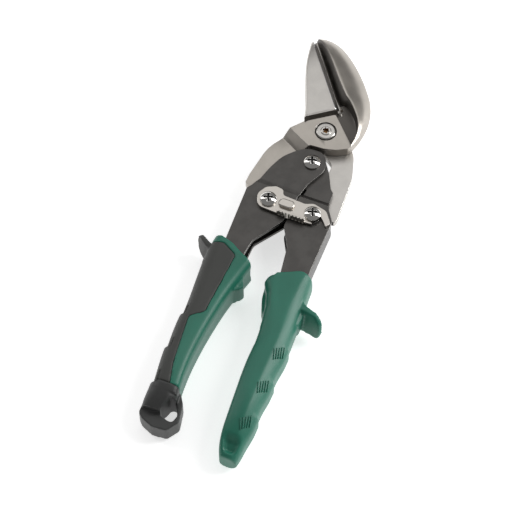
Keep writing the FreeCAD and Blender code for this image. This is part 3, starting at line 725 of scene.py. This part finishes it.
def reshape(point, section, left_power, right_power, source_power=3.2):
    """Point of a grip in millimetres, moved towards the wanted corner power on each side."""
    x_low, x_high, z_low, z_high = section
    mid_x, half_x = (x_low + x_high) / 2, (x_high - x_low) / 2
    mid_z, half_z = (z_low + z_high) / 2, (z_high - z_low) / 2
    p = (point.x - mid_x) / half_x
    q = (point.z - mid_z) / half_z
    if abs(p) > 1.06 or abs(q) > 1.1:
        return
    wanted = right_power if p > 0 else left_power
    wanted = source_power + (wanted - source_power) * ease(abs(p), 0.0, 0.5)
    ratio = power_sum(p, q, source_power) / power_sum(p, q, wanted)
    outer = ease(max(abs(p), abs(q)), 0.55, 0.8)
    ratio = 1 + (ratio - 1) * outer
    point.x = mid_x + half_x * p * ratio
    point.z = mid_z + half_z * q * ratio


# %% [markdown]
# The thumb fins are thin curved tabs. Each starts as a flat grid, which is laid along a
# short curve, rounded off at its tip and given its thickness.

# %% A curved tab along a short path
def tab(path, z_low, z_high, thick_root, thick_tip, corner, lean):
    shell = bmesh.new()
    steps, rows = 16, 10
    bmesh.ops.create_grid(shell, x_segments=steps, y_segments=rows, size=1.0)
    knots = [Vector((x, y, 0)) for x, y in path]

    def along(t):
        span = t * (len(knots) - 1)
        i = min(int(span), len(knots) - 2)
        u = span - i
        before = knots[max(i - 1, 0)]
        after = knots[min(i + 2, len(knots) - 1)]
        a, b = knots[i], knots[i + 1]
        return 0.5 * (2 * a + (b - before) * u + (2 * before - 5 * a + 4 * b - after) * u ** 2
                      + (3 * a - before - 3 * b + after) * u ** 3)

    length = sum((b - a).length for a, b in zip(knots, knots[1:]))
    for vertex in shell.verts:
        t = (vertex.co.x + 1) / 2
        h = vertex.co.y
        left_over = (1 - t) * length
        round_off = 1.0
        if left_over < corner:
            round_off = math.sqrt(max(0.0, 1 - (1 - left_over / corner) ** 2))
        half = (z_high - z_low) / 2
        keep = half - corner * (1 - round_off)
        spot = along(t)
        vertex.co = Vector((spot.x, spot.y, (z_low + z_high) / 2 + h * keep))
    bmesh.ops.recalc_face_normals(shell, faces=shell.faces)
    faces = list(shell.faces)
    bmesh.ops.solidify(shell, geom=faces, thickness=thick_tip)
    shell.normal_update()
    for vertex in shell.verts:
        near = min(range(33), key=lambda i: (along(i / 32).xy - vertex.co.xy).length)
        base = along(near / 32)
        swell = 1 + (thick_root / thick_tip - 1) * (1 - near / 32) ** 2
        vertex.co.x = base.x + (vertex.co.x - base.x) * swell
        vertex.co.y = base.y + (vertex.co.y - base.y) * swell
    for vertex in shell.verts:
        vertex.co.y -= lean * (z_high - vertex.co.z)
        vertex.co *= MM
    bmesh.ops.recalc_face_normals(shell, faces=shell.faces)
    return shell


def join_shells(first, second):
    mesh = bpy.data.meshes.new("join")
    second.to_mesh(mesh)
    second.free()
    first.from_mesh(mesh)
    bpy.data.meshes.remove(mesh)
    return first


def sculpt(shell, move):
    for vertex in shell.verts:
        point = vertex.co / MM
        move(point)
        vertex.co = point * MM
    return shell


# %% [markdown]
# ## Right grip
# One hard moulding. Its top is flat on the inner side, falls away in a full curve on the
# outer side, and drops into a small hollow above the rounded lip at the end.

# %% Right grip
RIGHT_SECTIONS = (
    (-80.0, 3.0, 27.0, 2.0, 22.0), (-97.0, 3.6, 27.4, 0.6, 23.0), (-107.0, 6.0, 28.2, 0.4, 22.6),
    (-119.0, 10.4, 29.0, 0.4, 22.6), (-138.0, 12.2, 29.4, 0.4, 22.6), (-158.0, 13.2, 29.2, 0.4, 22.6),
    (-174.0, 14.4, 29.2, 0.4, 21.0), (-186.0, 15.8, 28.8, 0.6, 17.5), (-194.0, 18.6, 27.6, 1.6, 13.0),
)
RIGHT_SHOULDER = (
    (-86.0, 3.4, 3.4), (-92.0, 3.0, 3.0), (-98.5, 0.7, 0.6), (-104.0, 2.4, 0.1), (-111.0, 2.2, 0.1),
    (-115.0, 1.2, 1.0), (-122.0, 0.2, 0.2),
)
BUMP_STEPS = (-129.0, -149.0, -169.5)
FIN_FROM = 32.0                       # the thumb fin lies beyond this x and keeps its shape


def shape_right(point):
    section = between(RIGHT_SECTIONS, point.y)
    reshape(point, section, 6.0, 2.7)
    x_low, x_high, z_low, z_high = section
    upper = ease(point.z, 12.0, 19.0)
    hollow = ease(point.y, -182.0, -187.0) * (1 - ease(point.y, -189.5, -192.5))
    inside = ease(point.x, x_low + 1.0, x_low + 4.5) * (1 - ease(point.x, x_high - 5.0, x_high - 1.5))
    point.z -= 3.0 * hollow * inside * ease(point.z, 10.0, 16.0)
    # inner shoulder: the top panel is narrower than the finger ledge under it
    edge = 1 - ease(point.x, x_low + 1.5, x_low + 6.0)
    above = ease(point.z, 12.5, 16.0)
    panel, ledge = between(RIGHT_SHOULDER, point.y)
    point.x += edge * (ledge + (panel - ledge) * above)
    # shallow finger bumps down the outer side
    outer = ease(point.x, x_high - 3.0, x_high)
    for start in BUMP_STEPS:
        rise = ease(point.y, start + 1.5, start - 1.0) * (1 - ease(point.y, start - 5.0, start - 16.0))
        point.x += 0.9 * rise * outer * (1 if point.x < FIN_FROM else 0)


right_shell = cut_away(merged_mesh("right_grip"), (29.3, -105.0, 10.0), (1, 0, 0))
right_tab = tab(((22.0, -101.5), (27.0, -105.6), (31.4, -106.8), (35.4, -107.8), (39.4, -110.4)),
                4.4, 19.4, 4.4, 2.4, 6.5, 0.25)
right_shell = remeshed(join_shells(right_shell, right_tab), 0.55 * MM, 6)
RIGHT_GRIP = to_piece("right_grip_shell", sculpt(right_shell, shape_right), "right_handle",
                      GREEN, ("right_grip",), smooth_angle=60)
print("right grip", len(RIGHT_GRIP.data.polygons), "faces")

# %% [markdown]
# Short ribs stand on the grips for the thumb and fingers: three groups of five on the
# right one and three thin bars on the cover of the left one. Each is a small rounded bar,
# laid on the surface below it and sunk by half of its height.

# %% Rounded ribs laid on a finished surface
def ribs_on(name, surface, places, size, body, material):
    source = bmesh.new()
    source.from_mesh(surface.data)
    tree = BVHTree.FromBMesh(source)
    source.free()
    shell = bmesh.new()
    for x, y, turn in places:
        spot, normal = tree.ray_cast(Vector((x, y, 60.0)) * MM, Vector((0, 0, -1)))[:2]
        bar = bmesh.ops.create_cube(shell, size=1.0)["verts"]
        bmesh.ops.scale(shell, vec=Vector(size) * MM, verts=bar)
        along = Vector((-math.sin(math.radians(turn)), math.cos(math.radians(turn)), 0))
        along = (along - normal * along.dot(normal)).normalized()
        swing = Matrix((along.cross(normal), along, normal)).transposed()
        bmesh.ops.rotate(shell, cent=(0, 0, 0), matrix=swing, verts=bar)
        bmesh.ops.translate(shell, vec=spot, verts=bar)
    bmesh.ops.bevel(shell, geom=shell.edges[:], offset=min(size) * 0.42 * MM, segments=3, profile=0.5,
                    affect="EDGES", material=-1, clamp_overlap=True)
    bmesh.ops.recalc_face_normals(shell, faces=shell.faces)
    print(name, len(places), "ribs")
    return to_piece(name, shell, body, material, smooth_angle=60)


RIB_GROUPS = ((28.4, -132.5), (28.0, -152.8), (27.2, -173.6))
RIB_COUNT, RIB_TURN = 5, 22.0
RIB_STEP_X, RIB_STEP_Y = 0.95, 0.9
RIB_PLACES = [(x - RIB_STEP_X * i, y - RIB_STEP_Y * i, RIB_TURN)
              for x, y in RIB_GROUPS for i in range(RIB_COUNT)]
ribs_on("right_grip_ribs", RIGHT_GRIP, RIB_PLACES, (0.55, 6.0, 1.1), "right_handle", GREEN)

# %% [markdown]
# ## Left grip
# Three mouldings share one section: the hard green core, the soft black cover over its
# outer side and the black end. The outer side of the cover steps in and out like finger
# scallops. All three are shaped by the same rule, so their seams stay together.

# %% Left grip
LEFT_SECTIONS = (
    (-78.0, -29.4, -6.5, 2.5, 22.2), (-92.0, -30.6, -6.0, 0.8, 22.8), (-104.0, -30.2, -8.6, 0.4, 22.6),
    (-116.0, -29.2, -10.8, 0.4, 22.6), (-136.0, -29.2, -12.9, 0.4, 22.6),
    (-156.0, -28.6, -13.4, 0.4, 22.6),
    (-172.0, -27.6, -12.2, 0.5, 21.0), (-184.0, -27.2, -9.0, 1.5, 17.0),
)
SCALLOP_TOP, SCALLOP_STEP, SCALLOP_END = -111.3, 20.2, -172.0


def shape_left(point):
    section = between(LEFT_SECTIONS, point.y)
    if point.y > -174.0:
        reshape(point, section, 3.4, 6.0)
    x_low = section[0]
    if SCALLOP_END < point.y < SCALLOP_TOP:
        along = ((SCALLOP_TOP - point.y) / SCALLOP_STEP) % 1.0
        depth = 1.25 * along ** 1.4 * (1 - ease(along, 0.92, 1.0))
        point.x += depth * (1 - ease(point.x, x_low + 0.5, x_low + 5.0))


def left_piece(node, name, material, extra=None, cut=None):
    shell = merged_mesh(node)
    if cut:
        cut_away(shell, *cut)
    if extra:
        join_shells(shell, extra)
    shell = remeshed(shell, 0.5 * MM, 4)
    piece = to_piece(name, sculpt(shell, shape_left), "left_handle", material, (node,),
                     smooth_angle=60)
    print(name, len(piece.data.polygons), "faces")
    return piece


left_tab = tab(((-22.5, -93.8), (-27.0, -91.8), (-31.5, -89.6), (-35.8, -86.6), (-39.2, -83.2)),
               4.4, 19.4, 5.0, 2.4, 6.5, 0.1)
left_piece("left_grip", "left_grip_core", GREEN)
LEFT_COVER = left_piece("left_overmould", "left_grip_cover", RUBBER, left_tab,
                        ((-30.75, -95.0, 10.0), (-1, 0, 0)))
ribs_on("left_cover_ribs", LEFT_COVER, [(-26.5, -129.0, 0), (-25.8, -149.0, 0), (-24.9, -168.0, 0)],
        (0.7, 6.8, 1.3), "left_handle", RUBBER)
left_piece("end_loop", "left_grip_end", HARD_BLACK)

# %% [markdown]
# ## The end

# %% The end
import json
